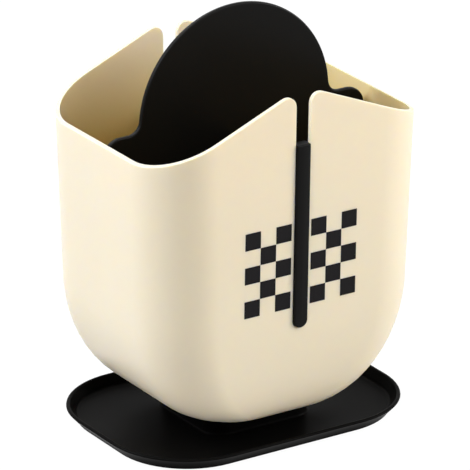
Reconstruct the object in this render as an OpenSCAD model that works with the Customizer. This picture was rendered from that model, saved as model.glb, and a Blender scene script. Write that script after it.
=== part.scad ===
// Chopstick holder: a flared tub, parted by two crossed plates, that stands on a drip tray

/* [Drip tray] */
// Width of the tray, left to right
tray_w = 146; // [136:1:180]
// Depth of the tray, front to back
tray_d = 106.6; // [98:0.2:140]
// Corner radius of the tray seen from above
tray_corner_r = 38.8; // [20:0.5:45]
// Height of the tray's rim above the table
tray_h = 6.7; // [4.5:0.1:12]
// Thickness of the raised rim
tray_rim_t = 2; // [1.4:0.1:3]
// How far the outer wall leans in at the foot
tray_lean = 5.2; // [0:0.1:6]
// Thickness of the tray's floor
tray_floor_t = 1.7; // [1:0.1:3]
// Radius where the floor turns up into the rim
basin_round = 1.6; // [0.5:0.1:2.2]
// Radius of the edge that stands on the table
foot_round = 0.8; // [0.3:0.1:1.5]

/* [Pedestal] */
// Width of the pedestal that carries the tub
pedestal_w = 54; // [40:1:70]
// Depth of the pedestal
pedestal_d = 50; // [40:1:60]
// Corner radius of the pedestal
pedestal_r = 9; // [6:0.5:15]
// Height of the face that the tub rests on
pedestal_h = 12.8; // [9:0.1:30]
// How far the pedestal's wall leans in at the top
pedestal_lean = 1.2; // [0:0.1:3]
// Wall left around the hollow under the pedestal
pedestal_wall = 2.2; // [1.4:0.1:3]
// Width of the ledge around the locating key
ledge_w = 3.6; // [2:0.1:6]
// Height of the key that centres the tub
key_h = 1.4; // [0.8:0.1:1.8]

/* [Tub] */
// Width of the tub where the bowl meets the straight wall
body_w = 138.4; // [110:0.4:170]
// Depth of the tub at the same height
body_d = 106; // [96:0.4:140]
// Height of that line above the tub's underside
bowl_h = 57; // [40:1:80]
// Upright corner radius of the wall
corner_r = 27.4; // [20:0.2:36]
// Sideways flare of the end walls, per millimetre of height
flare_w = 0.028; // [0:0.002:0.06]
// Forward flare of the front and back walls, per millimetre of height
flare_d = 0.02; // [0:0.002:0.05]
// Width of the flat under the bowl
foot_w = 52; // [44:1:80]
// Depth of the flat under the bowl
foot_d = 74; // [70:1:90]
// Corner radius of the flat under the bowl
foot_r = 17.9; // [10:0.1:22]
// Thickness of the tub's wall
wall_t = 1.9; // [1.6:0.1:3.2]
// Thickness of the tub's floor
floor_t = 3.4; // [2.6:0.1:5]

/* [Rim and slits] */
// Height of the ridge line that the two sloping rims would meet at
ridge_h = 159.6; // [140:0.2:190]
// Slope of the rim, in degrees
rim_slope = 22.5; // [10:0.5:30]
// Width of the slit in the front wall and the back wall
slit_w = 7.5; // [6:0.1:10]
// Height of the slit's round lower end above the tub's underside
slit_foot_h = 46.4; // [30:0.2:56]
// Radius where the slit opens into the rim
slit_flare_r = 5; // [3:0.5:8]

/* [Drain] */
// Diameter of a drain hole
drain_d = 4.6; // [3:0.2:5.4]
// Spacing of the drain holes along a row
drain_pitch = 8.5; // [7:0.1:8.5]
// Drain holes on each side of the middle, in each row
drain_count = 2; // [1:1:2]
// Distance from the middle to the first drain hole, as a share of the spacing
drain_start = 0.7; // [0.6:0.05:1]

/* [Crossed plates] */
// Thickness of both plates
plate_t = 2.5; // [1.8:0.1:3.4]
// Rounding of the plates' edges
plate_edge = 0.8; // [0.3:0.1:0.85]
// Diameter of the round head
head_d = 98.8; // [80:0.4:110]
// Height of the head's centre above the tub's underside
head_h = 132.2; // [122:0.2:150]
// Height of the shoulders beside the head
shoulder_h = 130.6; // [118:0.5:134]
// Radius at the outer end of a shoulder
shoulder_r = 9; // [3:0.5:10]
// Radius in the neck between shoulder and head
neck_r = 6; // [2:0.5:8]
// Height of the cross plate's top edge
cross_h = 121; // [118:0.5:134]
// How far the cross plate's foot stands in from the edge of the tub's flat
foot_inset = 4; // [1:0.5:10]
// Height at which the two plates lock into each other
lock_h = 68; // [50:1:90]
// Height of the guide bars' top
bar_h = 133.2; // [110:0.2:145]
// How far the guide bars stand out of the wall
bar_proud = 1.4; // [0.2:0.1:1.5]
// How far the guide bars reach into the tub
bar_reach = 2; // [1:0.2:4]
// Radius at the top corners and front edges of the guide bars
bar_round = 0.8; // [0.8:0.1:2.6]

/* [Fits] */
// Clearance between a guide bar and its slit, on each side
slit_gap = 0.25; // [0.2:0.05:0.5]
// Clearance between a plate and the inside of the tub
wall_gap = 0.9; // [0.3:0.05:1]
// Clearance on each side of a plate in the other plate's slot
lock_gap = 0.25; // [0.15:0.05:0.4]
// Clearance round the key on the pedestal
key_gap = 0.3; // [0.2:0.05:0.6]

/* [Hidden] */
corner_steps = 14;
bowl_steps = 12;
lip_steps = 6;
fine = 96;
turn_steps = 8;
head_steps = 32;
head_end = 88;
cut_margin = 1;
flat_share = 0.9;

ink = [0.1, 0.1, 0.11];
cream = [0.95, 0.91, 0.8];

// The tub's outer and inner half sizes where the straight wall begins, as [x, y]
out_half = [body_w, body_d] / 2;
in_half = out_half - [wall_t, wall_t];
foot_half = [foot_w, foot_d] / 2;

// The key and the hollow under the pedestal follow the pedestal's own size
top_half = [pedestal_w, pedestal_d] / 2 - [pedestal_lean, pedestal_lean];
key_half = top_half - [ledge_w, ledge_w];
key_r = pedestal_r - ledge_w;

// Centre of the rounding between slit and rim, and where it meets the slope
flare_x = slit_w / 2 + slit_flare_r;
flare_z = ridge_h - tan(rim_slope) * flare_x - slit_flare_r / cos(rim_slope);
slope_x = flare_x + slit_flare_r * sin(rim_slope);

// Height of the rim at a distance x from the slit's centre line
function rim_at(x) =
    let (side = abs(x))
    side >= slope_x ? ridge_h - tan(rim_slope) * side
    : side > slit_w / 2 ? flare_z + sqrt(max(0, pow(slit_flare_r, 2) - pow(flare_x - side, 2)))
    : flare_z;

// A column is [x side, y side, x share of the radius, y share, fixed x]
function corner_columns(sx, sy, from) =
    [for (k = [0 : corner_steps]) let (a = from + 90 * k / corner_steps) [sx, sy, cos(a), sin(a), 0]];
function edge_columns(sy, xs) = [for (x = xs) [0, sy, 0, sy, x]];
function middle(points) = [for (p = points) 1] * points / len(points);
function reverse(v) = [for (k = [len(v) - 1 : -1 : 0]) v[k]];
function columns(xs) = concat(
    edge_columns(-1, concat([0], xs)),
    corner_columns(1, -1, -90), [[1, 0, 1, 0, 0]], corner_columns(1, 1, 0),
    edge_columns(1, concat(reverse(xs), [0], -xs)),
    corner_columns(-1, 1, 90), [[-1, 0, -1, 0, 0]], corner_columns(-1, -1, 180),
    edge_columns(-1, reverse(-xs)));
function column_point(c, half, r, squeeze = 1) =
    [c[0] * (half[0] - r) + c[2] * r + c[4] * squeeze, c[1] * (half[1] - r) + c[3] * r];
function ring(cols, half, r, z, squeeze = 1) = [
    for (c = cols)
    let (p = column_point(c, half, r, squeeze))
    [p[0], p[1], z]
];

// Columns beside the slit follow the rounding into the rim
flare_columns = [for (a = [25, 45, 65, 90, 90 + rim_slope]) flare_x - slit_flare_r * cos(a)];
tub_columns = columns(flare_columns);
tray_columns = columns([]);

// Half size of the straight wall's outside at height z
function wall_half(z) = out_half + (z - bowl_h) * [flare_w, flare_d];

// One ring of the bowl at angle a: 0 is the straight wall and 90 is the flat foot.
// The columns beside the slit close up where the flat stretch between the corners is short.
function bowl_ring(a, from_half, from_r, floor_z) =
    let (fall = 1 - cos(a))
    let (half = from_half - (from_half - foot_half) * fall)
    let (r = from_r - (from_r - foot_r) * fall)
    let (squeeze = min(1, flat_share * (half[0] - r) / slope_x))
    ring(tub_columns, half, r, bowl_h - (bowl_h - floor_z) * sin(a), squeeze);
function bowl_angles() = [for (k = [0 : bowl_steps]) 90 * k / bowl_steps];

// One ring of the rounded lip at angle a: 0 is outside, 90 the crest and 180 inside
function lip_ring(a) = [
    for (c = tub_columns)
    let (side = column_point(c, wall_half(bowl_h) - [wall_t, wall_t] / 2, corner_r - wall_t / 2)[0])
    let (z = rim_at(side) - wall_t / 2 * (1 - sin(a)))
    let (inset = wall_t / 2 * (1 - cos(a)))
    let (p = column_point(c, wall_half(z) - [inset, inset], corner_r - inset))
    [p[0], p[1], z]
];

// A closed skin through rings of equally many points. Each end closes with a flat fan round its middle.
module loft(rings) {
    n = len(rings[0]);
    last = (len(rings) - 1) * n;
    foot_mid = len(rings) * n;
    head_mid = foot_mid + 1;
    polyhedron(
        points = concat([for (r = rings) each r], [middle(rings[0]), middle(rings[len(rings) - 1])]),
        faces = [
            for (k = [0 : n - 1])
            let (next = (k + 1) % n)
            each concat(
                [[foot_mid, k, next], [head_mid, last + next, last + k]],
                [for (j = [0 : len(rings) - 2])
                    let (a = j * n + k, b = j * n + next)
                    each [[a, a + n, b], [b, a + n, b + n]]])
        ]);
}

// A flat plate with rounded edges, drawn in X and Z and centred on Y
module edged_plate(outline) {
    n = len(outline);
    out = [for (k = [0 : n - 1])
        let (d = outline[(k + 1) % n] - outline[(k + n - 1) % n])
        [d[1], -d[0]] / norm(d)];
    turns = [0, 30, 60, 90];
    steps = concat(
        [for (a = turns) [plate_edge * (1 - sin(a)), plate_t / 2 - plate_edge * (1 - cos(a))]],
        [for (a = reverse(turns)) [plate_edge * (1 - sin(a)), plate_edge * (1 - cos(a)) - plate_t / 2]]);
    loft([for (s = steps) [for (k = [0 : n - 1])
        let (p = outline[k] - out[k] * s[0])
        [p[0], s[1], p[1]]]]);
}

module rounded_rect(w, d, r) {
    square([w - 2 * r, d], center = true);
    square([w, d - 2 * r], center = true);
    for (x = [-1, 1], y = [-1, 1])
        translate([x * (w / 2 - r), y * (d / 2 - r)])
            circle(r, $fn = fine);
}

module on_pedestal() {
    translate([0, 0, pedestal_h])
        children();
}

// Lower half of a plate's outline on one side, from the foot up to the end of the bowl
function bowl_side(half, foot) = [
    for (a = reverse(bowl_angles()))
    [foot + (half - foot - wall_gap) * cos(a), bowl_h - (bowl_h - floor_t - wall_gap) * sin(a)]
];
function arc(x, z, r, from, to, steps) = [
    for (k = [0 : steps])
    let (a = from + (to - from) * k / steps)
    [x + r * cos(a), z + r * sin(a)]
];
function mirrored(side) = concat(side, [for (p = reverse(side)) [-p[0], p[1]]]);

module drip_tray() {
    half = [tray_w, tray_d] / 2;
    lip_r = tray_rim_t / 2;
    pedestal_half = [pedestal_w, pedestal_d] / 2;
    lean_at = tray_lean / (tray_h - lip_r);
    function tray_ring(inset, z) =
        ring(tray_columns, half - [inset, inset], tray_corner_r - inset, z);
    function pedestal_ring(inset, z) =
        ring(tray_columns, pedestal_half - [inset, inset], pedestal_r - inset, z);
    basin_z = tray_floor_t + basin_round;
    wall_in = tray_rim_t + lean_at * (tray_h - lip_r - basin_z);
    color(ink)
        loft(concat(
            [pedestal_ring(pedestal_lean + pedestal_wall, pedestal_h - pedestal_wall)],
            [pedestal_ring(pedestal_wall, 0)],
            [for (a = [0 : 30 : 90])
                tray_ring(tray_lean * (tray_h - lip_r - foot_round) / (tray_h - lip_r)
                    + foot_round * (1 - sin(a)), foot_round * (1 - cos(a)))],
            [for (a = [0 : 30 : 180])
                tray_ring(lip_r * (1 - cos(a)), tray_h - lip_r * (1 - sin(a)))],
            [for (a = [0 : 30 : 90])
                tray_ring(wall_in + basin_round * (1 - cos(a)), basin_z - basin_round * sin(a))],
            [pedestal_ring(0, tray_floor_t)],
            [for (a = [0 : 30 : 90])
                pedestal_ring(pedestal_lean + foot_round * (1 - cos(a)), pedestal_h - foot_round * (1 - sin(a)))],
            [ring(tray_columns, key_half, key_r, pedestal_h)],
            [ring(tray_columns, key_half, key_r, pedestal_h + key_h)]));
}

// The straight-sided cut through the front and back walls, round at its foot
module slit_cut() {
    r = slit_w / 2;
    rotate([90, 0, 0])
        linear_extrude(height = 2 * body_d, center = true) {
            translate([0, slit_foot_h + r])
                circle(r, $fn = fine);
            translate([-r, slit_foot_h + r])
                square([slit_w, ridge_h]);
        }
}

module drain_holes() {
    row_y = (pedestal_d / 2 + foot_d / 2) / 2;
    for (side = [-1, 1], k = [1 : drain_count], y = [-1, 1])
        translate([side * (k - 1 + drain_start) * drain_pitch, y * row_y, -cut_margin])
            cylinder(d = drain_d, h = floor_t + 2 * cut_margin, $fn = 32);
}

module tub() {
    color(cream)
        on_pedestal()
            difference() {
                loft(concat(
                    [for (a = reverse(bowl_angles())) bowl_ring(a, out_half, corner_r, 0)],
                    [for (k = [0 : lip_steps]) lip_ring(180 * k / lip_steps)],
                    [for (a = bowl_angles()) bowl_ring(a, in_half, corner_r - wall_t, floor_t)]));
                slit_cut();
                drain_holes();
                translate([0, 0, -cut_margin])
                    linear_extrude(height = cut_margin + key_h + key_gap)
                        rounded_rect(2 * (key_half[0] + key_gap), 2 * (key_half[1] + key_gap), key_r + key_gap);
            }
}

// A bar that fills the slit, parallel to the flared wall
module guide_bar() {
    w = slit_w - 2 * slit_gap;
    foot_z = slit_foot_h + slit_w / 2;
    depth = wall_t + bar_reach + bar_proud;
    lean = atan(flare_d);
    intersection() {
        translate([0, -(out_half[1] + bar_proud), bowl_h])
            rotate([lean, 0, 0])
                translate([0, depth / 2, -bowl_h])
                    linear_extrude(height = ridge_h)
                        rounded_rect(w, depth, bar_round);
        rotate([90, 0, 0])
            linear_extrude(height = body_d) {
                translate([0, foot_z])
                    circle(w / 2, $fn = fine);
                translate([-w / 2, foot_z])
                    square([w, bar_h - bar_round - foot_z]);
                translate([bar_round - w / 2, foot_z])
                    square([w - 2 * bar_round, bar_h - foot_z]);
                for (side = [-1, 1])
                    translate([side * (w / 2 - bar_round), bar_h - bar_round])
                        circle(bar_round, $fn = fine);
            }
    }
}

module cross_plate() {
    top_y = in_half[1] + flare_d * (cross_h - bowl_h) - wall_gap;
    side = concat(
        [[foot_half[1] - foot_inset, floor_t]],
        bowl_side(in_half[1], foot_half[1]),
        [[top_y, cross_h]]);
    color(ink)
        on_pedestal()
            difference() {
                union() {
                    rotate([0, 0, 90])
                        edged_plate(mirrored(side));
                    for (turn = [0, 180])
                        rotate([0, 0, turn])
                            guide_bar();
                }
                translate([-plate_t, -plate_t / 2 - lock_gap, lock_h])
                    cube([2 * plate_t, plate_t + 2 * lock_gap, cross_h]);
            }
}

module head_plate() {
    head_r = head_d / 2;
    end_x = in_half[0] + flare_w * (shoulder_h - bowl_h) - wall_gap;
    neck_z = shoulder_h + neck_r;
    neck_x = sqrt(pow(head_r + neck_r, 2) - pow(neck_z - head_h, 2));
    neck_a = atan2(neck_z - head_h, neck_x);
    side = concat(
        bowl_side(in_half[0], foot_half[0]),
        arc(end_x - shoulder_r, shoulder_h - shoulder_r, shoulder_r, 0, 90, turn_steps),
        arc(neck_x, neck_z, neck_r, 270, 180 + neck_a, turn_steps),
        arc(0, head_h, head_r, neck_a, head_end, head_steps));
    color(ink)
        on_pedestal()
            difference() {
                edged_plate(mirrored(side));
                translate([-plate_t / 2 - lock_gap, -plate_t, 0])
                    cube([plate_t + 2 * lock_gap, 2 * plate_t, lock_h]);
            }
}

drip_tray();
tub();
cross_plate();
head_plate();
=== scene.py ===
"""Looks of a chopstick holder: a cream tub on a black drip tray, parted by two crossed black plates."""
import math

import bpy
from mathutils import Matrix, Vector


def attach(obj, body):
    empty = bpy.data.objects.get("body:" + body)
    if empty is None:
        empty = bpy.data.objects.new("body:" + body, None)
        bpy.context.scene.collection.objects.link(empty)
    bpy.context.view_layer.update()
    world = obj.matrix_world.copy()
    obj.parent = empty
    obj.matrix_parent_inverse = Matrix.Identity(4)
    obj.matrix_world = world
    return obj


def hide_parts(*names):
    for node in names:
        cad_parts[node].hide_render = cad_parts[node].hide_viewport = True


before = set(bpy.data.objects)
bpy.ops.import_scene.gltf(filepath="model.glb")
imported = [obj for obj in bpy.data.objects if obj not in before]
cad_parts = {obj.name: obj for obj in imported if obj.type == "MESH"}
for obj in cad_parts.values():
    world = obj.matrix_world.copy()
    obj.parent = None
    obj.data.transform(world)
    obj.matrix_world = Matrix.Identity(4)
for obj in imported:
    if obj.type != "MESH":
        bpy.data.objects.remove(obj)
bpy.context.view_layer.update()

MM = 0.001

# Photographed view: turn, tilt and roll of the camera, its distance, what it looks at, and its lens
VIEW_TURN = math.radians(33.02)
VIEW_TILT = math.radians(21.88)
VIEW_ROLL = math.radians(0.2)
VIEW_DISTANCE = 2.315
VIEW_TARGET = (0.0004, 0.0, 0.085)
VIEW_LENS = 398.4
VIEW_SENSOR = 36

# Sizes in millimetres, the same as the solids have. In the tub and the plates, heights named _H
# are above the pedestal that the tub stands on. The tray's half sizes and the head's radius are a
# hair smaller, because finer curves reach further out than the solids' facets.
TRAY_HALF = (72.99, 53.29)
TRAY_R = 38.8
TRAY_TOP = 6.7
TRAY_RIM = 2.0
TRAY_LEAN = 5.2
TRAY_FLOOR = 1.7
BASIN_R = 1.6
FOOT_EDGE = 0.8
PEDESTAL_TOP = 12.8
PEDESTAL_HALF = (27.0, 25.0)
PEDESTAL_R = 9.0
PEDESTAL_LEAN = 1.2
PEDESTAL_WALL = 2.2
PEDESTAL_FILLET = 1.4
KEY_HALF = (22.2, 20.2)
KEY_R = 5.4
KEY_RISE = 1.4
KEY_GAP = 0.3
BODY_HALF = (69.2, 53.0)
BOWL_H = 57.0
CORNER_R = 27.4
FLARE = (0.028, 0.02)
FOOT_HALF = (26.0, 37.0)
FOOT_R = 17.9
WALL = 1.9
FLOOR = 3.4
RIDGE_H = 159.6
RIM_SLOPE = math.radians(22.5)
LIP_R = 0.85
SLIT_W = 7.5
SLIT_FOOT_H = 46.4
SLIT_FLARE_R = 5.0
DRAIN_D = 4.6
DRAIN_XS = (5.95, 14.45)
DRAIN_Y = 31.0
PLATE = 2.5
PLATE_EDGE = 0.8
WALL_GAP = 0.9
SLOT_HALF = 1.5
LOCK_H = 68.0
HEAD_R = 49.36
HEAD_H = 132.2
SHOULDER_H = 130.6
SHOULDER_R = 9.0
NECK_R = 6.0
CROSS_H = 121.0
FOOT_INSET = 4.0
BAR_W = 7.0
BAR_H = 133.2
BAR_PROUD = 1.4
BAR_REACH = 2.0
BAR_ROUND = 0.8
CELL = 8.0
CELL_START = 5.1
CELL_CORNER = 0.12
PRINT_Z = 89.65
PRINT_T = 0.06
PRINT_LIFT = 0.005

# How far cutting tools reach past what they cut, and how near a picked point has to lie
CUT_BELOW = 2
CUT_ABOVE = 8
CUT_SIDE = 10
NEAR = 0.01
# A hair's height between rings that would lie in one plane, so that bridging doesn't twist them
SHEER = 0.02
# Corner radius of a round tool as a share of its width, just short of the half
ROUND = 0.499

# Steps of the curves
CORNER_STEPS = 16
BOWL_STEPS = 14
EDGE_STEPS = 4
TRAY_RIM_STEPS = 10
BASIN_STEPS = 6
FILLET_STEPS = 5
TURN_STEPS = 12
HEAD_STEPS = 64
SMOOTH_ANGLE = math.radians(35)
BEVEL_ANGLE = math.radians(40)

# Colours as linear red, green and blue, most of them as the two ends of a faint cloud
CREAM = ((0.87, 0.755, 0.57), (0.85, 0.735, 0.545))
# Painted shade: a darker golden cream that the inside of the tub turns to further down, standing in for
# the shade and bounced light there
CREAM_PAINTED_SHADE = (0.78, 0.63, 0.16)
BLACK = ((0.0042, 0.0039, 0.0035), (0.003, 0.0028, 0.0025))
INK = ((0.0075, 0.0065, 0.007), (0.0105, 0.0095, 0.01))
WHITE = (1, 1, 1)
FLOOR_GREY = (0.7, 0.7, 0.7)
# Heights in metres between which painted shade comes in on the inside of the tub: none above the first,
# the full darker golden cream below the second
PAINTED_SHADE_FROM, PAINTED_SHADE_TO = 0.166, 0.112
PLATE_GLOSS = 0.09
TRAY_GLOSS = 0.016

# The studio: strengths of the soft light and of the white that the camera sees, and the lamps
SOFT_LIGHT = 0.11
SEEN_WHITE = 1.0
FLOOR_GLOW = 1.06
FLOOR_SHARE = 0.92
FLOOR_SIZE = 6
FLOOR_Z = -0.0002
LAMP_DISTANCE = 1.6
LAMP_SIZE = 0.9
LAMPS = (
    ("left_lamp", 154, 38, 20.0, (0.94, 0.99, 1.1)),
    ("high_lamp", 210, 65, 10.0, WHITE),
    ("front_lamp", 302, 40, 8.0, WHITE),
    ("right_lamp", 330, 15, 14.5, WHITE),
    ("back_lamp", 95, 50, 7.0, WHITE),
)


def metres(*values):
    return tuple(v * MM for v in values)


# Hand tools
def start_mesh(name):
    """A new empty mesh at the origin, in edit mode, with nothing else selected."""
    bpy.ops.object.select_all(action="DESELECT")
    bpy.ops.mesh.primitive_plane_add(size=MM, location=(0, 0, 0))
    piece = bpy.context.object
    piece.name = name
    piece.data.name = name
    bpy.ops.object.mode_set(mode="EDIT")
    bpy.ops.mesh.delete(type="VERT")
    return piece


def finish_mesh():
    """Points the faces outwards and leaves edit mode."""
    bpy.ops.mesh.select_all(action="SELECT")
    bpy.ops.mesh.normals_make_consistent(inside=False)
    bpy.ops.object.mode_set(mode="OBJECT")


def take(piece):
    """Selects one piece alone and makes it the active one."""
    bpy.ops.object.select_all(action="DESELECT")
    piece.select_set(True)
    bpy.context.view_layer.objects.active = piece


def pick(piece, kind, test):
    """Selects only the vertices or edges whose points all pass the test, given in millimetres."""
    bpy.ops.mesh.select_all(action="DESELECT")
    bpy.ops.mesh.select_mode(type=kind)
    bpy.ops.object.mode_set(mode="OBJECT")
    passed = [test(*(c / MM for c in v.co)) for v in piece.data.vertices]
    if kind == "VERT":
        for v, good in zip(piece.data.vertices, passed):
            v.select = good
    else:
        for e in piece.data.edges:
            e.select = all(passed[k] for k in e.vertices)
    bpy.ops.object.mode_set(mode="EDIT")


def add_modifier(piece, kind, **settings):
    """Adds one modifier, sets it and applies it."""
    take(piece)
    made = piece.modifiers.new(kind.title(), kind)
    for key, value in settings.items():
        setattr(made, key, value)
    bpy.ops.object.modifier_apply(modifier=made.name)


def combine(piece, tool, operation):
    """Cuts the piece with a closed tool or joins the two; the tool is used up."""
    add_modifier(piece, "BOOLEAN", object=tool, operation=operation, solver="EXACT")
    bpy.data.objects.remove(tool)


def soften(piece, width, steps):
    """Rounds the sharp edges and smooths the rest."""
    add_modifier(piece, "BEVEL", width=width * MM, segments=steps, limit_method="ANGLE",
                 angle_limit=BEVEL_ANGLE, use_clamp_overlap=True)
    bpy.ops.object.shade_smooth_by_angle(angle=SMOOTH_ANGLE)
    add_modifier(piece, "WEIGHTED_NORMAL", keep_sharp=True, weight=80)


def place_by(piece, matrix):
    """Moves a finished mesh and leaves its object at the origin, unturned."""
    take(piece)
    piece.matrix_world = matrix
    bpy.ops.object.transform_apply(location=True, rotation=True, scale=True)


def rounded_ring(half_x, half_y, radius, z, steps=CORNER_STEPS):
    """Adds one level edge loop, a rectangle with round corners."""
    place = (0, 0, z * MM)
    bpy.ops.mesh.primitive_plane_add(size=2, location=place)
    bpy.ops.transform.resize(value=(half_x * MM, half_y * MM, 1), center_override=place)
    bpy.ops.mesh.bevel(offset=radius * MM, offset_type="OFFSET", segments=steps, profile=0.5,
                       affect="VERTICES", clamp_overlap=False)
    bpy.ops.mesh.delete(type="ONLY_FACE")


def skin(name, rings, both_ends):
    """A new mesh, left in edit mode: rings bridged one after another, closed at the first or both ends."""
    piece = start_mesh(name)
    count = 4 * (CORNER_STEPS + 1)
    for ring in rings:
        rounded_ring(*ring)
    bpy.ops.mesh.select_mode(type="VERT")

    def pick_rings(first, last):
        bpy.ops.mesh.select_all(action="DESELECT")
        bpy.ops.object.mode_set(mode="OBJECT")
        for v in piece.data.vertices[first * count:(last + 1) * count]:
            v.select = True
        bpy.ops.object.mode_set(mode="EDIT")

    last_ring = len(rings) - 1
    for k in range(last_ring):
        pick_rings(k, k + 1)
        bpy.ops.mesh.bridge_edge_loops()
    for k in (0, last_ring) if both_ends else (0,):
        pick_rings(k, k)
        bpy.ops.mesh.edge_face_add()
    return piece


def prism(name, width, depth, low, high, radius, steps):
    """An upright closed block with round corners, standing from low to high."""
    piece = start_mesh(name)
    rounded_ring(width / 2, depth / 2, radius, low, steps)
    bpy.ops.mesh.select_all(action="SELECT")
    bpy.ops.mesh.edge_face_add()
    bpy.ops.mesh.extrude_region_move(TRANSFORM_OT_translate={"value": (0, 0, (high - low) * MM)})
    finish_mesh()
    return piece


class Pen:
    """Draws half an outline in the X-Z plane by extruding and spinning one vertex."""

    def __init__(self, name, x, z):
        self.piece = start_mesh(name)
        bpy.ops.mesh.primitive_plane_add(size=MM, location=(0, 0, 0))
        bpy.ops.mesh.merge(type="CENTER")
        bpy.ops.transform.translate(value=metres(x, 0, z))
        self.at = (x, z)

    def start_from(self, x, z):
        """Goes back to a point that is already drawn."""
        pick(self.piece, "VERT", lambda px, py, pz: abs(px - x) < NEAR and abs(pz - z) < NEAR)
        self.at = (x, z)

    def line(self, x, z):
        step = metres(x - self.at[0], 0, z - self.at[1])
        bpy.ops.mesh.extrude_region_move(TRANSFORM_OT_translate={"value": step})
        self.at = (x, z)

    def turn(self, x, z, degrees, steps):
        """Turns about a centre; a positive angle goes from +X to +Z."""
        bpy.ops.mesh.spin(steps=steps, angle=math.radians(degrees), center=metres(x, 0, z), axis=(0, 1, 0))
        cos, sin = math.cos(math.radians(degrees)), math.sin(math.radians(degrees))
        dx, dz = self.at[0] - x, self.at[1] - z
        self.at = (x + dx * cos - dz * sin, z + dx * sin + dz * cos)

    def bowl(self, x, z, reach, drop):
        """A quarter of an oval round (x, z), from its foot to its outer end."""
        self.turn(x, z, 90, BOWL_STEPS)
        pick(self.piece, "VERT", lambda px, py, pz: px > x + NEAR)
        bpy.ops.transform.resize(value=(reach / drop, 1, 1), center_override=metres(x, 0, z))
        self.start_from(x + reach, z)

    def plate(self, thickness):
        """Mirrors the half outline, fills it and gives it its thickness, centred on Y."""
        bpy.ops.object.mode_set(mode="OBJECT")
        add_modifier(self.piece, "MIRROR", use_axis=(True, False, False), merge_threshold=1e-5)
        bpy.ops.object.mode_set(mode="EDIT")
        bpy.ops.mesh.select_all(action="SELECT")
        bpy.ops.mesh.edge_face_add()
        finish_mesh()
        add_modifier(self.piece, "SOLIDIFY", thickness=thickness * MM, offset=0)
        return self.piece


# Shader tools
class Wire:
    """One output of a node. Sums and products of wires add Math nodes."""

    def __init__(self, nodes, socket):
        self.nodes = nodes
        self.socket = socket

    def math(self, operation, first, second):
        return self.nodes.node("ShaderNodeMath", {"operation": operation}, {0: first, 1: second})

    def __add__(self, other):
        return self.math("ADD", self, other)

    def __radd__(self, other):
        return self.math("ADD", other, self)

    def __rmul__(self, other):
        return self.math("MULTIPLY", other, self)

    def most(self, other):
        return self.math("MAXIMUM", self, other)


class Nodes:
    """A node tree whose nodes are added one by one."""

    def __init__(self, tree):
        self.tree = tree

    def node(self, kind, settings=None, inputs=None, output=0):
        made = self.tree.nodes.new(kind)
        for key, value in (settings or {}).items():
            setattr(made, key, value)
        for key, value in (inputs or {}).items():
            self.feed(made.inputs[key], value)
        return Wire(self, made.outputs[output])

    def feed(self, socket, value):
        if isinstance(value, Wire):
            self.tree.links.new(value.socket, socket)
        else:
            socket.default_value = value

    def seen(self):
        """1 on rays from the camera, from gloss and through glass, and 0 on light that falls on things."""
        path = [self.node("ShaderNodeLightPath", output=name)
                for name in ("Is Camera Ray", "Is Glossy Ray", "Is Transmission Ray")]
        return path[0].most(path[1]).most(path[2])


class Finish(Nodes):
    """A material built round the Principled shader."""

    def __init__(self, name, **levels):
        self.material = bpy.data.materials.new(name)
        self.material.use_nodes = True
        super().__init__(self.material.node_tree)
        self.shader = self.tree.nodes["Principled BSDF"]
        self.surface = self.tree.nodes["Material Output"].inputs["Surface"]
        self.set(**levels)

    def set(self, **values):
        for key, value in values.items():
            self.feed(self.shader.inputs[key.replace("_", " ")], value)

    def noise(self, scale, detail, roughness=0.5):
        place = self.node("ShaderNodeTexCoord", output="Object")
        return self.node("ShaderNodeTexNoise", {},
                         {"Vector": place, "Scale": scale, "Detail": detail, "Roughness": roughness})

    def depth(self, top, bottom):
        """0 above the height top, 1 below the height bottom, in metres."""
        place = self.node("ShaderNodeTexCoord", output="Object")
        height = self.node("ShaderNodeSeparateXYZ", {}, {"Vector": place}, output="Z")
        return self.node("ShaderNodeMapRange", {}, {"Value": height, "From Min": top, "From Max": bottom})

    def blend(self, share, first, second):
        """Mixes two colours, each a node's colour or three numbers."""
        colours = [c if isinstance(c, Wire) else (*c, 1) for c in (first, second)]
        return self.node("ShaderNodeMix", {"data_type": "RGBA"},
                         {0: share, 6: colours[0], 7: colours[1]}, output=2)

    def bump(self, height, distance):
        return self.node("ShaderNodeBump", {}, {"Height": height, "Distance": distance, "Strength": 0.5})


def cream_plastic(name, inside):
    """Satin moulded plastic, a warm cream that lets some light through; inside, painted shade turns it to
    a darker golden cream further down.
    """
    f = Finish(name, Specular_IOR_Level=0.35, Subsurface_Weight=0.8,
               Subsurface_Radius=(1.0, 0.85, 0.5), Subsurface_Scale=0.0025)
    cloud = f.noise(9.0, 3.0)
    grain = f.noise(1400.0, 2.0, 0.6)
    ripple = f.noise(30.0, 1.0)
    tone = f.blend(cloud, *CREAM)
    if inside:
        # painted shade: below the given heights the inside is painted a darker golden cream
        tone = f.blend(f.depth(PAINTED_SHADE_FROM, PAINTED_SHADE_TO), tone, CREAM_PAINTED_SHADE)
    f.set(Base_Color=tone,
          Roughness=0.4 + 0.06 * cloud,
          Normal=f.bump(ripple + 0.05 * grain, 0.0002))
    return f.material


def black_plastic(name, gloss):
    """Satin black moulded plastic with a fine grain."""
    f = Finish(name, Specular_IOR_Level=gloss)
    cloud = f.noise(14.0, 3.0)
    grain = f.noise(2200.0, 2.0, 0.6)
    f.set(Base_Color=f.blend(cloud, *BLACK),
          Roughness=0.3 + 0.1 * cloud,
          Normal=f.bump(grain, 0.00003))
    return f.material


def black_ink():
    """Flat black ink of the print, a little uneven."""
    f = Finish("black_ink", Specular_IOR_Level=0.08)
    patch = f.noise(600.0, 3.0)
    f.set(Base_Color=f.blend(patch, *INK),
          Roughness=0.45 + 0.1 * patch)
    return f.material


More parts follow.
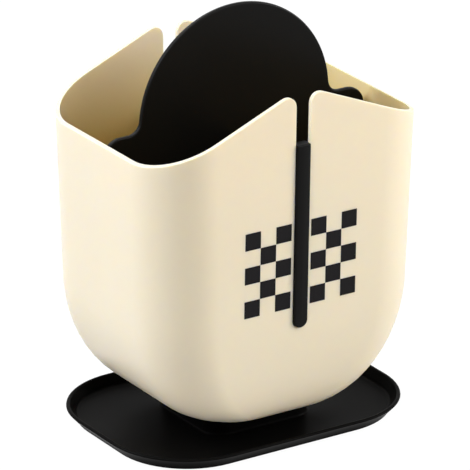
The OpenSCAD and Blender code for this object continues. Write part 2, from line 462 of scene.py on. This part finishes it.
def dress(piece, material, body, slot, *nodes):
    """Gives a piece its finish if it has none, the body it rides on, and hides the solids it stands for.
    """
    if material:
        piece.data.materials.clear()
        piece.data.materials.append(material)
    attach(piece, body)
    if nodes:
        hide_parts(*nodes)


# The drip tray
def inset_ring(half, radius, inset, z):
    return half[0] - inset, half[1] - inset, radius - inset, z


def curve(low, high, steps):
    return [math.radians(low + (high - low) * k / steps) for k in range(steps + 1)]


def make_tray(material):
    """One skin from the hollow under the pedestal, round the foot and the rim, to the key on top."""

    def tray_ring(inset, z):
        return inset_ring(TRAY_HALF, TRAY_R, inset, z)

    def pedestal_ring(inset, z):
        return inset_ring(PEDESTAL_HALF, PEDESTAL_R, inset, z)

    lip = TRAY_RIM / 2
    lean = TRAY_LEAN / (TRAY_TOP - lip)
    rings = [pedestal_ring(PEDESTAL_LEAN + PEDESTAL_WALL, PEDESTAL_TOP - PEDESTAL_WALL),
             pedestal_ring(PEDESTAL_WALL, SHEER)]
    foot_in = lean * (TRAY_TOP - lip - FOOT_EDGE)
    for a in curve(0, 90, EDGE_STEPS):
        rings.append(tray_ring(foot_in + FOOT_EDGE * (1 - math.sin(a)), FOOT_EDGE * (1 - math.cos(a))))
    for a in curve(0, 180, TRAY_RIM_STEPS):
        rings.append(tray_ring(lip * (1 - math.cos(a)), TRAY_TOP - lip * (1 - math.sin(a))))
    basin = TRAY_FLOOR + BASIN_R
    wall_in = TRAY_RIM + lean * (TRAY_TOP - lip - basin)
    for a in curve(0, 90, BASIN_STEPS):
        rings.append(tray_ring(wall_in + BASIN_R * (1 - math.cos(a)), basin - BASIN_R * math.sin(a)))
    for a in curve(0, 90, FILLET_STEPS):
        rings.append(pedestal_ring(-PEDESTAL_FILLET * (1 - math.sin(a)),
                                   TRAY_FLOOR + SHEER + PEDESTAL_FILLET * (1 - math.cos(a))))
    for a in curve(0, 90, EDGE_STEPS):
        rings.append(pedestal_ring(PEDESTAL_LEAN + FOOT_EDGE * (1 - math.cos(a)),
                                   PEDESTAL_TOP - FOOT_EDGE * (1 - math.sin(a))))
    rings.append((*KEY_HALF, KEY_R, PEDESTAL_TOP - SHEER))
    rings.append((*KEY_HALF, KEY_R, PEDESTAL_TOP + KEY_RISE))
    piece = skin("tray_moulding", rings, True)
    finish_mesh()
    bpy.ops.object.shade_smooth_by_angle(angle=SMOOTH_ANGLE)
    dress(piece, material, "drip_tray", "black_plastic", "drip_tray")


# The tub
def bowl_rings(half, radius, floor_h):
    rings = []
    for a in curve(90, 0, BOWL_STEPS):
        fall = 1 - math.cos(a)
        hx, hy = (h - (h - f) * fall for h, f in zip(half, FOOT_HALF))
        rings.append((hx, hy, radius - (radius - FOOT_R) * fall,
                      PEDESTAL_TOP + BOWL_H - (BOWL_H - floor_h) * math.sin(a)))
    top = (h + f * (RIDGE_H - BOWL_H) for h, f in zip(half, FLARE))
    rings.append((*top, radius, PEDESTAL_TOP + RIDGE_H))
    return rings


def shell(name, half, radius, floor_h):
    """One side of the tub's wall, closed at the floor and cut along the two slopes of the rim."""
    piece = skin(name, bowl_rings(half, radius, floor_h), False)
    for side in (-1, 1):
        bpy.ops.mesh.select_all(action="SELECT")
        bpy.ops.mesh.bisect(plane_co=metres(0, 0, PEDESTAL_TOP + RIDGE_H),
                            plane_no=(side * math.sin(RIM_SLOPE), 0, math.cos(RIM_SLOPE)),
                            clear_outer=True)
    bpy.ops.object.mode_set(mode="OBJECT")
    return piece


def slit_tool():
    """The long slot through both walls, round at its lower end."""
    reach = BODY_HALF[1] + CUT_SIDE
    tool = prism("slit_tool", SLIT_W, RIDGE_H, -reach, reach, ROUND * SLIT_W, TURN_STEPS)
    middle = PEDESTAL_TOP + SLIT_FOOT_H + RIDGE_H / 2
    place_by(tool, Matrix.Translation(metres(0, 0, middle)) @ Matrix.Rotation(math.pi / 2, 4, "X"))
    return tool


def round_slit_corners(piece):
    """Rounds the four tips where the slits open into the sloping rim."""
    tip_z = PEDESTAL_TOP + RIDGE_H - math.tan(RIM_SLOPE) * SLIT_W / 2
    tip_angle = math.pi / 2 - RIM_SLOPE
    bpy.ops.object.mode_set(mode="EDIT")
    pick(piece, "EDGE", lambda x, y, z: abs(abs(x) - SLIT_W / 2) < 0.1 and abs(z - tip_z) < 1)
    bpy.ops.mesh.bevel(offset=SLIT_FLARE_R / math.tan(tip_angle / 2) * MM, offset_type="OFFSET",
                       segments=10, profile=0.5, affect="EDGES", clamp_overlap=False)
    bpy.ops.object.mode_set(mode="OBJECT")


def make_tub(outside_material, inside_material):
    """Two shells joined at the rim, then the slits, the drain holes and the recess for the key."""
    outside = shell("tub_moulding", BODY_HALF, CORNER_R, 0)
    inside = shell("tub_inside", [h - WALL for h in BODY_HALF], CORNER_R - WALL, FLOOR)
    outside.data.materials.append(outside_material)
    inside.data.materials.append(inside_material)
    take(outside)
    inside.select_set(True)
    bpy.ops.object.join()
    piece = bpy.context.object
    bpy.ops.object.mode_set(mode="EDIT")
    bpy.ops.mesh.select_all(action="DESELECT")
    bpy.ops.mesh.select_mode(type="EDGE")
    bpy.ops.mesh.select_non_manifold(extend=False, use_wire=False, use_boundary=True,
                                     use_multi_face=False, use_non_contiguous=False, use_verts=False)
    bpy.ops.mesh.bridge_edge_loops()
    finish_mesh()
    combine(piece, slit_tool(), "DIFFERENCE")
    round_slit_corners(piece)
    low = PEDESTAL_TOP - CUT_BELOW
    for x in DRAIN_XS:
        for sx in (-1, 1):
            for sy in (-1, 1):
                hole = prism("hole_tool", DRAIN_D, DRAIN_D, low, PEDESTAL_TOP + CUT_ABOVE,
                             ROUND * DRAIN_D, 6)
                place_by(hole, Matrix.Translation(metres(sx * x, sy * DRAIN_Y, 0)))
                combine(piece, hole, "DIFFERENCE")
    recess = prism("key_tool", 2 * (KEY_HALF[0] + KEY_GAP), 2 * (KEY_HALF[1] + KEY_GAP),
                   low, PEDESTAL_TOP + KEY_RISE + KEY_GAP, KEY_R + KEY_GAP, 8)
    combine(piece, recess, "DIFFERENCE")
    soften(piece, LIP_R, 4)
    dress(piece, None, "tub", "cream_plastic", "tub")


def make_print(material):
    """Two blocks of checks, three wide and five high, beside the front slit."""
    piece = start_mesh("checker_print")
    lean = math.atan(FLARE[1])
    row_z = PRINT_Z - 2 * CELL
    first_x = CELL_START + CELL / 2
    wall_y = BODY_HALF[1] + FLARE[1] * (row_z - PEDESTAL_TOP - BOWL_H) + PRINT_LIFT
    bpy.ops.mesh.primitive_plane_add(size=CELL * MM, location=metres(first_x, -wall_y, row_z),
                                     rotation=(math.pi / 2 + lean, 0, 0))
    bpy.ops.mesh.bevel(offset=CELL_CORNER * MM, offset_type="OFFSET", segments=3, profile=0.5,
                       affect="VERTICES")
    spots = [(side * (CELL_START + (column + 0.5) * CELL), row_z + row * CELL)
             for side in (1, -1) for column in range(3) for row in range(5) if (column + row) % 2 == 0]
    for before, after in zip(spots, spots[1:]):
        dx, dz = after[0] - before[0], after[1] - before[1]
        bpy.ops.mesh.duplicate_move(TRANSFORM_OT_translate={"value": metres(dx, -FLARE[1] * dz, dz)})
    finish_mesh()
    add_modifier(piece, "SOLIDIFY", thickness=PRINT_T * MM, offset=1)
    dress(piece, material, "tub", "black_plastic")


# The crossed plates
def inner_half(axis, height):
    """Half the room between the tub's walls at a height above the bowl, less the gap."""
    return BODY_HALF[axis] - WALL + FLARE[axis] * (height - BOWL_H) - WALL_GAP


def raise_plate(piece):
    """Lifts a plate that was drawn from the tub's underside to its real height."""
    place_by(piece, Matrix.Translation(metres(0, 0, PEDESTAL_TOP)))


def make_head_plate(material):
    foot, bottom = FOOT_HALF[0], FLOOR + WALL_GAP
    end = inner_half(0, SHOULDER_H)
    neck_z = SHOULDER_H + NECK_R
    neck_x = math.sqrt((HEAD_R + NECK_R) ** 2 - (neck_z - HEAD_H) ** 2)
    neck = math.degrees(math.atan2(neck_z - HEAD_H, neck_x))
    pen = Pen("head_moulding", foot, bottom)
    pen.bowl(foot, BOWL_H, inner_half(0, BOWL_H) - foot, BOWL_H - bottom)
    pen.line(end, SHOULDER_H - SHOULDER_R)
    pen.turn(end - SHOULDER_R, SHOULDER_H - SHOULDER_R, 90, TURN_STEPS)
    pen.line(neck_x, SHOULDER_H)
    pen.turn(neck_x, neck_z, neck - 90, TURN_STEPS)
    pen.turn(0, HEAD_H, 90 - neck, HEAD_STEPS)
    pen.start_from(foot, bottom)
    pen.line(SLOT_HALF, bottom)
    pen.line(SLOT_HALF, LOCK_H)
    pen.line(0, LOCK_H)
    piece = pen.plate(PLATE)
    soften(piece, PLATE_EDGE, 3)
    raise_plate(piece)
    dress(piece, material, "head_plate", "black_plastic", "head_plate")


def make_bar():
    """A guide bar that fills the front slit, parallel to the flared wall."""
    half, foot_z = BAR_W / 2, SLIT_FOOT_H + SLIT_W / 2
    pen = Pen("guide_bar", 0, foot_z - half)
    pen.turn(0, foot_z, 90, TURN_STEPS)
    pen.line(half, BAR_H - BAR_ROUND)
    pen.turn(half - BAR_ROUND, BAR_H - BAR_ROUND, 90, 6)
    pen.line(0, BAR_H)
    depth = WALL + BAR_REACH + BAR_PROUD
    bar = pen.plate(depth)
    soften(bar, BAR_ROUND, 4)
    front = Matrix.Translation(metres(0, -BODY_HALF[1] - BAR_PROUD, BOWL_H))
    place_by(bar, front @ Matrix.Rotation(math.atan(FLARE[1]), 4, "X")
             @ Matrix.Translation(metres(0, depth / 2, -BOWL_H)))
    return bar


def make_cross_plate(material):
    foot, bottom = FOOT_HALF[1], FLOOR + WALL_GAP
    pen = Pen("cross_moulding", foot, bottom)
    pen.bowl(foot, BOWL_H, inner_half(1, BOWL_H) - foot, BOWL_H - bottom)
    pen.line(inner_half(1, CROSS_H), CROSS_H)
    pen.line(SLOT_HALF, CROSS_H)
    pen.line(SLOT_HALF, LOCK_H)
    pen.line(0, LOCK_H)
    pen.start_from(foot, bottom)
    pen.line(foot - FOOT_INSET, FLOOR)
    pen.line(0, FLOOR)
    piece = pen.plate(PLATE)
    soften(piece, PLATE_EDGE, 3)
    place_by(piece, Matrix.Rotation(math.pi / 2, 4, "Z"))
    front = make_bar()
    back = front.copy()
    back.data = front.data.copy()
    bpy.context.scene.collection.objects.link(back)
    place_by(back, Matrix.Rotation(math.pi, 4, "Z"))
    combine(piece, front, "UNION")
    combine(piece, back, "UNION")
    raise_plate(piece)
    dress(piece, material, "cross_plate", "black_plastic", "cross_plate")


# The studio
def make_world():
    """Soft light on things, and plain white for what the camera and the gloss see."""
    world = bpy.data.worlds.new("studio")
    bpy.context.scene.world = world
    world.use_nodes = True
    world.node_tree.nodes.clear()
    n = Nodes(world.node_tree)
    soft = n.node("ShaderNodeBackground", {}, {"Color": (*WHITE, 1), "Strength": SOFT_LIGHT})
    white = n.node("ShaderNodeBackground", {}, {"Color": (*WHITE, 1), "Strength": SEEN_WHITE})
    mixed = n.node("ShaderNodeMixShader", {}, {0: n.seen(), 1: soft, 2: white})
    n.feed(n.tree.nodes.new("ShaderNodeOutputWorld").inputs["Surface"], mixed)


def make_floor():
    """A pale floor that glows for the camera, with a small share left for the object's shadow."""
    bpy.ops.object.select_all(action="DESELECT")
    bpy.ops.mesh.primitive_plane_add(size=FLOOR_SIZE, location=(0, 0, FLOOR_Z))
    floor = bpy.context.object
    floor.name = "floor"
    f = Finish("pale_floor", Base_Color=(*FLOOR_GREY, 1), Roughness=0.9, Specular_IOR_Level=0.0)
    glow = f.node("ShaderNodeEmission", {}, {"Color": (*WHITE, 1), "Strength": FLOOR_GLOW})
    share = FLOOR_SHARE * f.seen()
    both = f.node("ShaderNodeMixShader", {}, {0: share, 1: Wire(f, f.shader.outputs[0]), 2: glow})
    f.feed(f.surface, both)
    floor.data.materials.append(f.material)


def add_lamp(name, turn, tilt, power, colour):
    """A round soft lamp that looks at the tub; turn is measured from +X, and tilt from the floor."""
    lamp = bpy.data.lights.new(name, "AREA")
    lamp.shape = "DISK"
    lamp.size = LAMP_SIZE
    lamp.energy = power
    lamp.color = colour
    thing = bpy.data.objects.new(name, lamp)
    bpy.context.scene.collection.objects.link(thing)
    turn, tilt = math.radians(turn), math.radians(tilt)
    away = Vector((math.cos(turn) * math.cos(tilt), math.sin(turn) * math.cos(tilt), math.sin(tilt)))
    thing.location = Vector(VIEW_TARGET) + LAMP_DISTANCE * away
    thing.rotation_euler = (-away).to_track_quat("-Z", "Y").to_euler()


def add_camera():
    camera = bpy.data.cameras.new("photo_camera")
    camera.lens = VIEW_LENS
    camera.sensor_width = VIEW_SENSOR
    thing = bpy.data.objects.new("photo_camera", camera)
    bpy.context.scene.collection.objects.link(thing)
    turned = (Matrix.Rotation(-VIEW_TURN, 4, "Z") @ Matrix.Rotation(math.pi / 2 - VIEW_TILT, 4, "X")
              @ Matrix.Rotation(VIEW_ROLL, 4, "Z"))
    thing.matrix_world = (Matrix.Translation(VIEW_TARGET) @ turned
                          @ Matrix.Translation((0, 0, VIEW_DISTANCE)))
    bpy.context.scene.camera = thing


add_camera()
make_world()
make_floor()
for one_lamp in LAMPS:
    add_lamp(*one_lamp)
plate_black = black_plastic("plate_black", PLATE_GLOSS)
# the inside's cream carries painted shade that deepens further down
make_tub(cream_plastic("cream_outside", False), cream_plastic("cream_inside_painted_shade", True))
make_print(black_ink())
make_tray(black_plastic("tray_black", TRAY_GLOSS))
make_head_plate(plate_black)
make_cross_plate(plate_black)
bpy.context.scene.view_settings.view_transform = "Standard"
